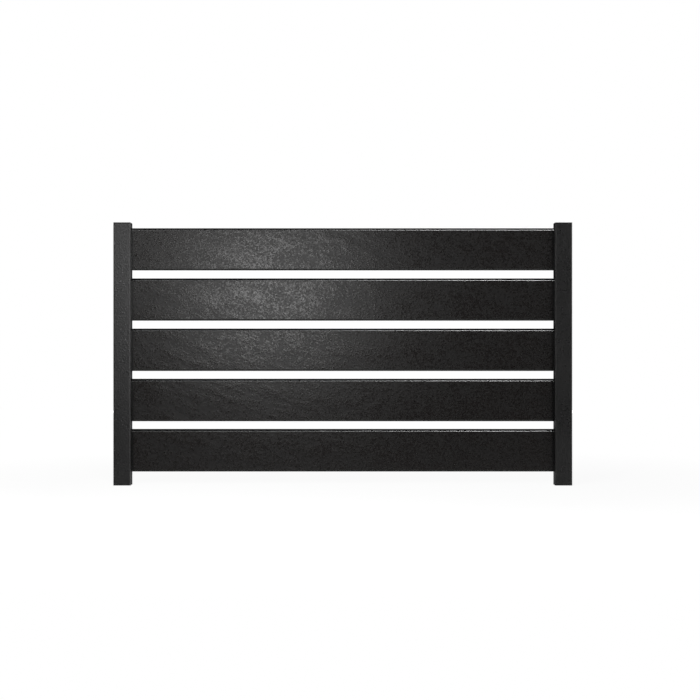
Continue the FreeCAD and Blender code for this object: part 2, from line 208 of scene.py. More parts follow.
class BoardSettings(bpy.types.PropertyGroup):
    """Sizes and colours of the boards"""

    face_height: bpy.props.FloatProperty(
        name="Face Height", description="Front face of one board, edge to edge",
        default=166 * MM, unit="LENGTH"
    )
    bevel_rise: bpy.props.FloatProperty(
        name="Bevel Rise", description="How much both edges rise to the back",
        default=10 * MM, unit="LENGTH"
    )
    nose_round: bpy.props.FloatProperty(
        name="Nose Round", description="Radius of the upper front edge",
        default=4 * MM, unit="LENGTH"
    )
    arris_round: bpy.props.FloatProperty(
        name="Arris Round", description="Radius of the other three edges",
        default=2 * MM, unit="LENGTH"
    )
    wall: bpy.props.FloatProperty(
        name="Wall", description="Thickness of the front and back walls",
        default=4.5 * MM, unit="LENGTH"
    )
    web: bpy.props.FloatProperty(
        name="Web", description="Thickness between two chambers",
        default=5 * MM, unit="LENGTH"
    )
    chambers: bpy.props.IntProperty(
        name="Chambers", description="Hollow chambers in one board",
        default=6
    )
    grain_depth: bpy.props.FloatProperty(
        name="Grain Depth", description="Depth of the embossed relief",
        default=0.12 * MM, unit="LENGTH"
    )
    grain_length: bpy.props.FloatProperty(
        name="Grain Length", description="Typical length of an embossed stroke",
        default=16 * MM, unit="LENGTH"
    )
    grain_width: bpy.props.FloatProperty(
        name="Grain Width", description="Typical width of an embossed stroke",
        default=8 * MM, unit="LENGTH"
    )
    seed: bpy.props.IntProperty(name="Seed", description="Starting seed of the grain", default=11)
    ground: bpy.props.FloatVectorProperty(
        name="Ground", description="Main colour of the composite",
        subtype="COLOR", size=4, default=linear("#1d1a19")
    )
    bloom: bpy.props.FloatVectorProperty(
        name="Bloom", description="Paler cloudy patches",
        subtype="COLOR", size=4, default=linear("#211d1c")
    )
    # Painted shade: a darker colour laid on the bevels and edges, the ends at the posts and the lower
    # margins
    edge: bpy.props.FloatVectorProperty(
        name="Edge", description="Unbrushed bevels and edges",
        subtype="COLOR", size=4, default=linear("#0d0d0d")
    )


class PostSettings(bpy.types.PropertyGroup):
    """Finish of the posts and their outer slot covers"""

    coat: bpy.props.FloatVectorProperty(
        name="Coat", description="Powder coat colour",
        subtype="COLOR", size=4, default=linear("#161515")
    )
    peel: bpy.props.FloatProperty(
        name="Peel", description="Size of the powder coat's fine texture",
        default=7 * MM, unit="LENGTH"
    )


class SmallPartSettings(bpy.types.PropertyGroup):
    """Colours of the caps, blocks and gaskets and sizes of the screws"""

    cap: bpy.props.FloatVectorProperty(
        name="Cap", description="Moulded cap colour",
        subtype="COLOR", size=4, default=linear("#1c1c1c")
    )
    block: bpy.props.FloatVectorProperty(
        name="Block", description="Moulded spacer colour",
        subtype="COLOR", size=4, default=linear("#191919")
    )
    rubber: bpy.props.FloatVectorProperty(
        name="Rubber", description="Gasket colour",
        subtype="COLOR", size=4, default=linear("#151515")
    )
    steel: bpy.props.FloatVectorProperty(
        name="Steel", description="Screw colour",
        subtype="COLOR", size=4, default=linear("#a9a7a3")
    )
    head_radius: bpy.props.FloatProperty(
        name="Head Radius", description="Radius of a screw head",
        default=4 * MM, unit="LENGTH"
    )
    shank_radius: bpy.props.FloatProperty(
        name="Shank Radius", description="Outer radius of a screw thread",
        default=2.1 * MM, unit="LENGTH"
    )
    shank_length: bpy.props.FloatProperty(
        name="Shank Length", description="Screw length under its head",
        default=32 * MM, unit="LENGTH"
    )
    thread_pitch: bpy.props.FloatProperty(
        name="Thread Pitch", description="Climb of the thread in one turn",
        default=1.4 * MM, unit="LENGTH"
    )


class StageSettings(bpy.types.PropertyGroup):
    """Studio floor, light and camera"""

    floor: bpy.props.FloatVectorProperty(
        name="Floor", description="Floor colour",
        subtype="COLOR", size=4, default=linear("#e6e6e6")
    )
    cloth: bpy.props.FloatVectorProperty(
        name="Cloth", description="Dark cloth in front and overhead",
        subtype="COLOR", size=4, default=linear("#181818")
    )
    card: bpy.props.FloatVectorProperty(
        name="Card", description="Grey card on the floor behind and beside",
        subtype="COLOR", size=4, default=linear("#959595")
    )
    key_power: bpy.props.FloatProperty(
        name="Key Power", description="Soft box in front on the left",
        default=5.0, unit="POWER"
    )
    strip_spread: bpy.props.FloatProperty(
        name="Strip Spread", description="Angle of the strip light's beam",
        default=math.radians(55), subtype="ANGLE"
    )
    strip_power: bpy.props.FloatProperty(
        name="Strip Power", description="Strip light above on the right",
        default=64.0, unit="POWER"
    )
    kicker_power: bpy.props.FloatProperty(
        name="Kicker Power", description="Small soft light high on the left",
        default=2.4, unit="POWER"
    )
    ambient: bpy.props.FloatProperty(
        name="Ambient", description="Strength of the room's light on the object",
        default=1.0
    )
    lens: bpy.props.FloatProperty(
        name="Lens", description="Focal length in millimetres",
        default=92.18
    )


# Finishes


def composite(look):
    """Co-extruded wood-plastic composite with brushed and embossed faces, and plain edges, ends and lower
    margins painted darker as shade.
    """
    # The eye gets a satin gloss broken by slanting cloudy patches and a fine stone-like speckle.
    material, tree, shader, place = start_material(
        "Embossed wood-plastic composite", Specular_IOR_Level=1.0
    )
    rounded = add(tree, "ShaderNodeAttribute", attribute_name="smooth_edge").node.outputs["Fac"]
    # The lower margin carries a painted shade line along the lower edge of each face.
    margin = add(tree, "ShaderNodeAttribute", attribute_name="lower_shade_line").node.outputs["Fac"]
    # Each end is plain and painted darker over about the last 10 mm before the post, as painted shade
    # where the board meets the post.
    along = add(tree, "ShaderNodeSeparateXYZ", {"Vector": place})
    reach = add(tree, "ShaderNodeMath", {0: along}, operation="ABSOLUTE")
    end_shade_span = {"Value": reach, "From Min": END_SHADE_START, "From Max": END_SHADE_FULL}
    end_shade = add(tree, "ShaderNodeMapRange", end_shade_span)
    # Painted shade mask: the rounded edges and bevels together with the ends at the posts
    edge = add(tree, "ShaderNodeMath", {0: rounded, 1: end_shade}, operation="MAXIMUM")
    # Cloudy patches about 160 by 70 mm, as the brushing and the cooling leave them.
    slant = {"Vector": place, "Rotation": (0.0, CLOUD_TILT, 0.0), "Scale": CLOUD_SIZE}
    slanted = add(tree, "ShaderNodeMapping", slant, vector_type="TEXTURE")
    patches = {"Vector": slanted, "Scale": 1.0, "Detail": 5.0, "Roughness": 0.6}
    cloud = add(tree, "ShaderNodeTexNoise", patches)
    # Pits and grains are really about 1 mm across and are drawn 7 mm across so that they show.
    fine = {"Vector": place, "Scale": 1 / SPECK_SIZE, "Detail": 3.0, "Roughness": 0.65}
    speck = add(tree, "ShaderNodeTexNoise", fine)
    # Clumps about 50 mm across, where the stone-like speckle is stronger.
    clump = add(tree, "ShaderNodeTexNoise", {"Vector": place, "Scale": 1 / CLUMP_SIZE, "Detail": 2.0})

    # Colour: two shades in the patches, and a darker one painted as shade on edges, ends at the posts and
    # lower margins
    tone = add(tree, "ShaderNodeMapRange", {"Value": cloud, "From Min": 0.35, "From Max": 0.65})
    shades = {"Factor": tone, COLOUR_A: tuple(look.ground), COLOUR_B: tuple(look.bloom)}
    face = add(tree, "ShaderNodeMix", shades, data_type="RGBA").node.outputs[COLOUR_OUT]
    painted_shade = add(tree, "ShaderNodeMath", {0: edge, 1: margin}, operation="MAXIMUM")
    trimmed = {"Factor": painted_shade, COLOUR_A: face, COLOUR_B: tuple(look.edge)}
    colour = add(tree, "ShaderNodeMix", trimmed, data_type="RGBA").node.outputs[COLOUR_OUT]
    tree.links.new(colour, shader.inputs["Base Color"])

    # Patches shine a little differently, pits are duller than grains, edges are even and margins matt
    satin = {"Value": cloud, "From Min": 0.3, "From Max": 0.7, "To Min": 0.38, "To Max": 0.25}
    gloss = add(tree, "ShaderNodeMapRange", satin)
    clumped = {"Value": clump, "From Min": 0.35, "From Max": 0.6, "To Min": 0.6, "To Max": 1.1}
    strength = add(tree, "ShaderNodeMapRange", clumped)
    pit = add(tree, "ShaderNodeMath", {0: 0.5, 1: speck}, operation="SUBTRACT")
    grained = add(tree, "ShaderNodeMath", {0: pit, 1: strength, 2: gloss}, operation="MULTIPLY_ADD")
    speckled = add(tree, "ShaderNodeClamp", {"Value": grained, "Min": 0.22, "Max": 0.36})
    matt = {"Factor": margin, FLOAT_A: speckled, FLOAT_B: MARGIN_ROUGHNESS}
    bordered = add(tree, "ShaderNodeMix", matt, data_type="FLOAT")
    even = {"Factor": edge, FLOAT_A: bordered, FLOAT_B: EDGE_ROUGHNESS}
    rough = add(tree, "ShaderNodeMix", even, data_type="FLOAT")
    tree.links.new(rough, shader.inputs["Roughness"])

    # Relief in millimetres: the speckle on top of the slow waviness of a long extrusion
    grit = add(tree, "ShaderNodeMath", {0: speck, 1: SPECK_RELIEF}, operation="MULTIPLY")
    waves = {0: cloud, 1: CLOUD_RELIEF, 2: grit}
    height = add(tree, "ShaderNodeMath", waves, operation="MULTIPLY_ADD")
    press = add(tree, "ShaderNodeMapRange", {"Value": edge, "To Min": 0.9, "To Max": 0.0})
    raised = add(tree, "ShaderNodeBump", {"Strength": press, "Distance": 1 * MM, "Height": height})
    tree.links.new(raised, shader.inputs["Normal"])
    return material


def powder_coat(look):
    """Fine-texture polyester powder coat on extruded aluminium."""
    # The eye gets an even satin black, broken by a fine mottle, with gloss along the rounded corners.
    material, tree, shader, place = start_material(
        "Powder-coated aluminium", Specular_IOR_Level=1.0, IOR=1.7
    )
    # Powder grains are really about 0.5 mm across and are drawn coarser so that they show.
    fine = {"Vector": place, "Scale": 1 / look.peel, "Detail": 2.0, "Roughness": 0.6}
    peel = add(tree, "ShaderNodeTexNoise", fine)
    drift = add(tree, "ShaderNodeTexNoise", {"Vector": place, "Scale": 1 / DRIFT_SIZE, "Detail": 2.0})
    flecks = {"Value": peel, "From Min": 0.35, "From Max": 0.65, "To Min": 0.85, "To Max": 1.15}
    tone = add(tree, "ShaderNodeMapRange", flecks)
    tinted = {0: tuple(look.coat)[:3], "Scale": tone}
    colour = add(tree, "ShaderNodeVectorMath", tinted, operation="SCALE")
    tree.links.new(colour, shader.inputs["Base Color"])
    satin = {"Value": drift, "From Min": 0.3, "From Max": 0.7, "To Min": 0.32, "To Max": 0.37}
    rough = add(tree, "ShaderNodeMapRange", satin)
    grain = add(tree, "ShaderNodeMath", {0: 0.5, 1: peel}, operation="SUBTRACT")
    mottled = add(tree, "ShaderNodeMath", {0: grain, 1: 0.4, 2: rough}, operation="MULTIPLY_ADD")
    held = add(tree, "ShaderNodeClamp", {"Value": mottled, "Min": 0.24, "Max": 0.37})
    tree.links.new(held, shader.inputs["Roughness"])
    raised = add(tree, "ShaderNodeBump", {"Strength": 0.9, "Distance": PEEL_RELIEF, "Height": peel})
    tree.links.new(raised, shader.inputs["Normal"])
    return material


def moulded(name, colour, grit, roughness):
    """Moulded plastic or extruded rubber with a fine even skin."""
    # The eye gets a dull skin with a fine grit and a slightly uneven sheen.
    material, tree, shader, place = start_material(name, Specular_IOR_Level=0.35)
    # The grit is really about 0.3 mm across and is drawn coarser so that it shows.
    skin = add(tree, "ShaderNodeTexNoise", {"Vector": place, "Scale": 1 / grit, "Detail": 3.0})
    shade = {"Value": skin, "From Min": 0.3, "From Max": 0.7, "To Min": 0.8, "To Max": 1.2}
    tone = add(tree, "ShaderNodeMapRange", shade)
    tinted = {0: tuple(colour)[:3], "Scale": tone}
    skin_colour = add(tree, "ShaderNodeVectorMath", tinted, operation="SCALE")
    tree.links.new(skin_colour, shader.inputs["Base Color"])
    sheen = {
        "Value": skin,
        "From Min": 0.3,
        "From Max": 0.7,
        "To Min": roughness - SHEEN_SPREAD,
        "To Max": roughness + SHEEN_SPREAD,
    }
    rough = add(tree, "ShaderNodeMapRange", sheen)
    tree.links.new(rough, shader.inputs["Roughness"])
    raised = add(tree, "ShaderNodeBump", {"Strength": 0.5, "Distance": GRIT_RELIEF, "Height": skin})
    tree.links.new(raised, shader.inputs["Normal"])
    return material


def stainless(look):
    """Cold-headed stainless steel, bright with a faint smear."""
    # The eye gets a pale grey metal whose gloss is slightly uneven.
    material, tree, shader, place = start_material("Stainless steel", Metallic=1.0)
    smear = add(tree, "ShaderNodeTexNoise", {"Vector": place, "Scale": 1 / SMEAR_SIZE, "Detail": 3.0})
    shade = {"Value": smear, "From Min": 0.3, "From Max": 0.7, "To Min": 0.85, "To Max": 1.05}
    tone = add(tree, "ShaderNodeMapRange", shade)
    tinted = {0: tuple(look.steel)[:3], "Scale": tone}
    colour = add(tree, "ShaderNodeVectorMath", tinted, operation="SCALE")
    tree.links.new(colour, shader.inputs["Base Color"])
    sheen = {"Value": smear, "From Min": 0.3, "From Max": 0.7, "To Min": 0.25, "To Max": 0.4}
    rough = add(tree, "ShaderNodeMapRange", sheen)
    tree.links.new(rough, shader.inputs["Roughness"])
    return material


# Geometry Nodes trees


def board_tree():
    """A hollow board: a leaning section swept along X, embossed faces, chambers and closed end rims."""
    tree, given = start_tree(
        "Hollow Board",
        {
            "Length": "Float",
            "Thickness": "Float",
            "Face Height": "Float",
            "Bevel Rise": "Float",
            "Nose Round": "Float",
            "Arris Round": "Float",
            "Wall": "Float",
            "Web": "Float",
            "Chambers": "Int",
            "Grain Depth": "Float",
            "Grain Length": "Float",
            "Grain Width": "Float",
            "Plain End": "Float",
            "Seed": "Float",
            "Centre Height": "Float",
            "Material": "Material",
        },
    )
    quarter = (0.0, 0.0, -math.pi / 2)

    # Outer section, drawn flat with its height along X, then turned for the sweep
    lean = add(tree, "ShaderNodeMath", {0: given["Bevel Rise"], 1: -1.0}, operation="MULTIPLY")
    outline = add(
        tree,
        "GeometryNodeCurvePrimitiveQuadrilateral",
        {"Width": given["Face Height"], "Height": given["Thickness"], "Offset": lean},
        mode="PARALLELOGRAM",
    )
    corner = add(tree, "GeometryNodeInputIndex")
    which = {WHOLE_A: corner, WHOLE_B: NOSE_CORNER}
    is_nose = add(tree, "FunctionNodeCompare", which, data_type="INT", operation="EQUAL")
    radius = add(
        tree,
        "GeometryNodeSwitch",
        {"Switch": is_nose, "False": given["Arris Round"], "True": given["Nose Round"]},
        input_type="FLOAT",
    )
    corners = {"Curve": outline, "Count": CORNER_FACETS, "Radius": radius}
    rounded = add(tree, "GeometryNodeFilletCurve", corners, mode="POLY")
    spot = add(tree, "GeometryNodeInputPosition")
    add(tree, "GeometryNodeOffsetPointInCurve", {"Point Index": corner, "Offset": 1})
    following = tree.nodes[-1].outputs["Point Index"]
    next_spot = add(
        tree,
        "GeometryNodeFieldAtIndex",
        {"Index": following, "Value": spot},
        data_type="FLOAT_VECTOR",
        domain="POINT",
    )
    add(tree, "ShaderNodeVectorMath", {0: spot, 1: next_spot}, operation="DISTANCE")
    run = tree.nodes[-1].outputs["Value"]
    cuts = add(tree, "ShaderNodeMath", {0: run, 1: SECTION_STEP}, operation="DIVIDE")
    fine = add(tree, "GeometryNodeSubdivideCurve", {"Curve": rounded, "Cuts": cuts})
    section = add(tree, "GeometryNodeTransform", {"Geometry": fine, "Rotation": quarter})

    # Sweep path
    half = add(tree, "ShaderNodeMath", {0: given["Length"], 1: 0.5}, operation="MULTIPLY")
    minus_half = add(tree, "ShaderNodeMath", {0: half, 1: -1.0}, operation="MULTIPLY")
    left_end = add(tree, "ShaderNodeCombineXYZ", {"X": minus_half})
    right_end = add(tree, "ShaderNodeCombineXYZ", {"X": half})
    path = add(tree, "GeometryNodeCurvePrimitiveLine", {"Start": left_end, "End": right_end})
    stations = add(tree, "ShaderNodeMath", {0: given["Length"], 1: STATION_STEP}, operation="DIVIDE")
    long_path = add(tree, "GeometryNodeResampleCurve", {"Curve": path, "Count": stations}, mode="COUNT")
    skin = add(tree, "GeometryNodeCurveToMesh", {"Curve": long_path, "Profile Curve": section})

    # Embossed relief, pressed into both broad faces and faded out where a board enters a post
    outward = add(tree, "GeometryNodeInputNormal")
    facing = add(tree, "ShaderNodeSeparateXYZ", {"Vector": outward}).node.outputs["Y"]
    flatness = add(tree, "ShaderNodeMath", {0: facing}, operation="ABSOLUTE")
    turned = {"Value": flatness, "From Min": ROUND_FLATNESS, "From Max": FACE_FLATNESS}
    broad = add(tree, "ShaderNodeMapRange", turned)
    where = add(tree, "ShaderNodeSeparateXYZ", {"Vector": spot}).node.outputs
    out = add(tree, "ShaderNodeMath", {0: where["X"]}, operation="ABSOLUTE")
    inset = add(tree, "ShaderNodeMath", {0: half, 1: out}, operation="SUBTRACT")
    twice = add(tree, "ShaderNodeMath", {0: given["Plain End"], 1: 2.0}, operation="MULTIPLY")
    ends = {"Value": inset, "From Min": given["Plain End"], "From Max": twice}
    fade = add(tree, "ShaderNodeMapRange", ends)
    stroke = {"X": given["Grain Length"], "Y": given["Grain Width"], "Z": given["Grain Width"]}
    stretch = add(tree, "ShaderNodeCombineXYZ", stroke)
    grain_spot = add(tree, "ShaderNodeVectorMath", {0: spot, 1: stretch}, operation="DIVIDE")
    grain = add(
        tree,
        "ShaderNodeTexNoise",
        {"Vector": grain_spot, "W": given["Seed"], "Scale": 1.0, "Detail": 2.0},
        noise_dimensions="4D",
    )
    pressed = add(tree, "ShaderNodeMath", {0: grain, 1: given["Grain Depth"]}, operation="MULTIPLY")
    masked = add(tree, "ShaderNodeMath", {0: pressed, 1: broad}, operation="MULTIPLY")
    faded = add(tree, "ShaderNodeMath", {0: masked, 1: fade}, operation="MULTIPLY")

    # Straight run-out of the relief along the upper and lower edge, which leans with the section
    tilt = {0: given["Bevel Rise"], 1: given["Thickness"]}
    slope = add(tree, "ShaderNodeMath", tilt, operation="DIVIDE")
    level = add(tree, "ShaderNodeMath", {0: where["Y"], 1: slope}, operation="MULTIPLY")
    upright = add(tree, "ShaderNodeMath", {0: where["Z"], 1: level}, operation="SUBTRACT")
    tall = add(tree, "ShaderNodeMath", {0: upright}, operation="ABSOLUTE")
    half_face = add(tree, "ShaderNodeMath", {0: given["Face Height"], 1: 0.5}, operation="MULTIPLY")
    margin = add(tree, "ShaderNodeMath", {0: half_face, 1: tall}, operation="SUBTRACT")
    borders = {"Value": margin, "From Min": given["Nose Round"], "From Max": RELIEF_INSET}
    settle = add(tree, "ShaderNodeMapRange", borders)
    inward = add(tree, "ShaderNodeMath", {0: faded, 1: settle}, operation="MULTIPLY")
    sunk = add(tree, "ShaderNodeMath", {0: inward, 1: -1.0}, operation="MULTIPLY")
    shift = add(tree, "ShaderNodeVectorMath", {0: outward, "Scale": sunk}, operation="SCALE")
    smooth_edge = add(tree, "ShaderNodeMath", {0: 1.0, 1: broad}, operation="SUBTRACT")
    tagged = add(
        tree,
        "GeometryNodeStoreNamedAttribute",
        {"Geometry": skin, "Name": "smooth_edge", "Value": smooth_edge},
        data_type="FLOAT",
        domain="POINT",
    )
    # A painted shade line, about 6 to 8 mm tall, along the lower edge of each face, stored for the finish
    foot = add(tree, "ShaderNodeMath", {0: half_face, 1: upright}, operation="ADD")
    lowest = {"Value": foot, "From Min": SHADE_LINE_INSET, "From Max": SHADE_LINE_FADE}
    lower_shade_line = add(tree, "ShaderNodeMapRange", {**lowest, "To Min": 1.0, "To Max": 0.0})
    tagged = add(
        tree,
        "GeometryNodeStoreNamedAttribute",
        {"Geometry": tagged, "Name": "lower_shade_line", "Value": lower_shade_line},
        data_type="FLOAT",
        domain="POINT",
    )
    embossed = add(tree, "GeometryNodeSetPosition", {"Geometry": tagged, "Offset": shift})

    # Chambers, leaning with the section
    walls = add(tree, "ShaderNodeMath", {0: given["Wall"], 1: -2.0}, operation="MULTIPLY")
    depth = add(tree, "ShaderNodeMath", {0: given["Thickness"], 1: walls}, operation="ADD")
    depth_share = add(tree, "ShaderNodeMath", {0: depth, 1: given["Thickness"]}, operation="DIVIDE")
    chamber_lean = add(tree, "ShaderNodeMath", {0: lean, 1: depth_share}, operation="MULTIPLY")
    clear = add(tree, "ShaderNodeMath", {0: given["Face Height"], 1: given["Web"]}, operation="SUBTRACT")
    pitch = add(tree, "ShaderNodeMath", {0: clear, 1: given["Chambers"]}, operation="DIVIDE")
    opening = add(tree, "ShaderNodeMath", {0: pitch, 1: given["Web"]}, operation="SUBTRACT")
    chamber = add(
        tree,
        "GeometryNodeCurvePrimitiveQuadrilateral",
        {"Width": opening, "Height": depth, "Offset": chamber_lean},
        mode="PARALLELOGRAM",
    )
    between = add(tree, "ShaderNodeMath", {0: given["Chambers"], 1: 1.0}, operation="SUBTRACT")
    reach = add(tree, "ShaderNodeMath", {0: between, 1: pitch}, operation="MULTIPLY")
    start = add(tree, "ShaderNodeMath", {0: reach, 1: -0.5}, operation="MULTIPLY")
    row = add(
        tree,
        "GeometryNodeMeshLine",
        {
            "Count": given["Chambers"],
            "Start Location": add(tree, "ShaderNodeCombineXYZ", {"X": start}),
            "Offset": add(tree, "ShaderNodeCombineXYZ", {"X": pitch}),
        },
        mode="OFFSET",
    )
    placed = add(tree, "GeometryNodeInstanceOnPoints", {"Points": row, "Instance": chamber})
    outlines = add(tree, "GeometryNodeRealizeInstances", {"Geometry": placed})
    hollows = add(tree, "GeometryNodeTransform", {"Geometry": outlines, "Rotation": quarter})
    tubes = add(tree, "GeometryNodeCurveToMesh", {"Curve": path, "Profile Curve": hollows})
    bores = add(tree, "GeometryNodeFlipFaces", {"Mesh": tubes})

    # End rims
    both = add(tree, "GeometryNodeJoinGeometry")
    tree.links.new(hollows, both.node.inputs[0])
    tree.links.new(section, both.node.inputs[0])
    rim = add(tree, "GeometryNodeFillCurve", {"Curve": both}, mode="NGONS")
    side = add(
        tree,
        "GeometryNodeTransform",
        {"Geometry": rim, "Rotation": (-math.pi / 2, 0.0, -math.pi / 2), "Translation": right_end},
    )
    across = add(
        tree,
        "GeometryNodeTransform",
        {"Geometry": rim, "Rotation": (-math.pi / 2, 0.0, -math.pi / 2), "Translation": left_end},
    )
    far_side = add(tree, "GeometryNodeFlipFaces", {"Mesh": across})

    # One closed shell, lifted to its height
    soft = add(tree, "GeometryNodeSetShadeSmooth", {"Geometry": embossed, "Shade Smooth": True})
    whole = add(tree, "GeometryNodeJoinGeometry")
    for part in (far_side, side, bores, soft):
        tree.links.new(part, whole.node.inputs[0])
    welded = add(tree, "GeometryNodeMergeByDistance", {"Geometry": whole, "Distance": BOARD_WELD})
    lift = add(tree, "ShaderNodeCombineXYZ", {"Z": given["Centre Height"]})
    lifted = add(tree, "GeometryNodeTransform", {"Geometry": welded, "Translation": lift})
    real = add(tree, "GeometryNodeRealizeInstances", {"Geometry": lifted})
    dressed = add(tree, "GeometryNodeSetMaterial", {"Geometry": real, "Material": given["Material"]})
    add(tree, "NodeGroupOutput", {"Geometry": dressed})
    return tree


def screw_tree():
    """Pan-head screws with a cross recess and a rolled thread, two at each post."""
    tree, given = start_tree(
        "Retaining Screws",
        {
            "Head Radius": "Float",
            "Head Height": "Float",
            "Head Bevel": "Float",
            "Shank Radius": "Float",
            "Shank Length": "Float",
            "Point Length": "Float",
            "Tip Radius": "Float",
            "Thread Pitch": "Float",
            "Thread Depth": "Float",
            "Recess Radius": "Float",
            "Recess Depth": "Float",
            "Tip Reach": "Float",
            "Low Screw": "Float",
            "High Screw": "Float",
            "Material": "Material",
        },
    )

    # Half section from the head's middle to the tip's middle, with its height turned down for the sweep
    head_top = add(tree, "ShaderNodeMath", {0: given["Head Height"], 1: -1.0}, operation="MULTIPLY")
    bevel_foot = add(tree, "ShaderNodeMath", {0: given["Head Bevel"], 1: head_top}, operation="ADD")
    inside_bevel = {0: given["Head Radius"], 1: given["Head Bevel"]}
    crown = add(tree, "ShaderNodeMath", inside_bevel, operation="SUBTRACT")
    above_point = {0: given["Shank Length"], 1: given["Point Length"]}
    shank_end = add(tree, "ShaderNodeMath", above_point, operation="SUBTRACT")
    outline = (
        {"Y": head_top},
        {"X": crown, "Y": head_top},
        {"X": given["Head Radius"], "Y": bevel_foot},
        {"X": given["Head Radius"]},
        {"X": given["Shank Radius"]},
        {"X": given["Shank Radius"], "Y": shank_end},
        {"X": given["Tip Radius"], "Y": given["Shank Length"]},
        {"Y": given["Shank Length"]},
    )
    index = add(tree, "GeometryNodeInputIndex")
    pick = add(tree, "GeometryNodeIndexSwitch", {"Index": index}, data_type="VECTOR").node
    for number, corner in enumerate(outline):
        if number >= len(pick.index_switch_items):
            pick.index_switch_items.new()
        tree.links.new(add(tree, "ShaderNodeCombineXYZ", corner), pick.inputs[number + 1])
    chain = add(tree, "GeometryNodeMeshLine", {"Count": len(outline)})
    shaped = add(tree, "GeometryNodeSetPosition", {"Geometry": chain, "Position": pick.outputs[0]})
    profile = add(tree, "GeometryNodeMeshToCurve", {"Mesh": shaped})
    which = {WHOLE_A: index, WHOLE_B: SHANK_CORNER}
    on_shank = add(tree, "FunctionNodeCompare", which, data_type="INT", operation="EQUAL")
    threads = add(tree, "ShaderNodeMath", {0: shank_end, 1: given["Thread Pitch"]}, operation="DIVIDE")
    rows = add(tree, "ShaderNodeMath", {0: threads, 1: ROWS_PER_THREAD}, operation="MULTIPLY")
    cuts = add(tree, "ShaderNodeMath", {0: rows, 1: on_shank}, operation="MULTIPLY")
    fine = add(tree, "GeometryNodeSubdivideCurve", {"Curve": profile, "Cuts": cuts})
    axis = {"Resolution": ROUND_FACETS, "Radius": AXIS_RADIUS}
    ring = add(tree, "GeometryNodeCurvePrimitiveCircle", axis, mode="RADIUS")
    turned = add(tree, "GeometryNodeCurveToMesh", {"Curve": ring, "Profile Curve": fine})
    solid = add(tree, "GeometryNodeMergeByDistance", {"Geometry": turned, "Distance": AXIS_WELD})

    # Thread: a wave two pitches long that climbs one pitch a turn, with a step along one line of the shank
    spot = add(tree, "GeometryNodeInputPosition")
    parts = add(tree, "ShaderNodeSeparateXYZ", {"Vector": spot}).node.outputs
    angle = add(tree, "ShaderNodeMath", {0: parts["Y"], 1: parts["X"]}, operation="ARCTAN2")
    turn = add(tree, "ShaderNodeMath", {0: angle, 1: 2 * math.pi}, operation="DIVIDE")
    climb = add(tree, "ShaderNodeMath", {0: parts["Z"], 1: given["Thread Pitch"]}, operation="DIVIDE")
    phase = add(tree, "ShaderNodeMath", {0: climb, 1: turn}, operation="SUBTRACT")
    tooth = add(tree, "ShaderNodeMath", {0: phase, 1: 1.0}, operation="PINGPONG")
    wave = add(tree, "ShaderNodeMath", {0: tooth, 1: given["Thread Depth"]}, operation="MULTIPLY")
    below = add(tree, "ShaderNodeMath", {0: parts["Z"], 1: -THREAD_START}, operation="LESS_THAN")
    minus_end = add(tree, "ShaderNodeMath", {0: shank_end, 1: -THREAD_SHARE}, operation="MULTIPLY")
    above = add(tree, "ShaderNodeMath", {0: parts["Z"], 1: minus_end}, operation="GREATER_THAN")
    masked = add(tree, "ShaderNodeMath", {0: below, 1: above}, operation="MULTIPLY")
    sunk = add(tree, "ShaderNodeMath", {0: wave, 1: masked}, operation="MULTIPLY")
    inward = add(tree, "ShaderNodeMath", {0: sunk, 1: -1.0}, operation="MULTIPLY")
    flat = add(tree, "ShaderNodeCombineXYZ", {"X": parts["X"], "Y": parts["Y"]})
    radial = add(tree, "ShaderNodeVectorMath", {0: flat}, operation="NORMALIZE")
    shift = add(tree, "ShaderNodeVectorMath", {0: radial, "Scale": inward}, operation="SCALE")
    threaded = add(tree, "GeometryNodeSetPosition", {"Geometry": solid, "Offset": shift})

    # Cross recess: two tapered blades taken out of the head
    root = add(tree, "ShaderNodeMath", {0: given["Recess Radius"], 1: BLADE_ROOT}, operation="MULTIPLY")
    depth = add(tree, "ShaderNodeMath", {0: given["Recess Depth"], 1: BLADE_DEPTH}, operation="MULTIPLY")
    add(
        tree,
        "GeometryNodeMeshCone",
        {"Vertices": 4, "Radius Top": given["Recess Radius"], "Radius Bottom": root, "Depth": depth},
    )
    cone = tree.nodes[-1].outputs["Mesh"]
    below_top = {0: given["Head Height"], 1: given["Recess Depth"]}
    floor = add(tree, "ShaderNodeMath", below_top, operation="SUBTRACT")
    sink = add(tree, "ShaderNodeCombineXYZ", {"Z": floor})
    driven = threaded
    for quarter in (0.0, math.pi / 2):
        thin = add(tree, "GeometryNodeTransform", {"Geometry": cone, "Scale": (1.0, BLADE_WIDTH, 1.0)})
        seated = {"Geometry": thin, "Translation": sink, "Rotation": (0.0, 0.0, quarter)}
        cut = {"Mesh 1": driven, "Mesh 2": add(tree, "GeometryNodeTransform", seated)}
        driven = add(tree, "GeometryNodeMeshBoolean", cut, operation="DIFFERENCE", solver="EXACT")

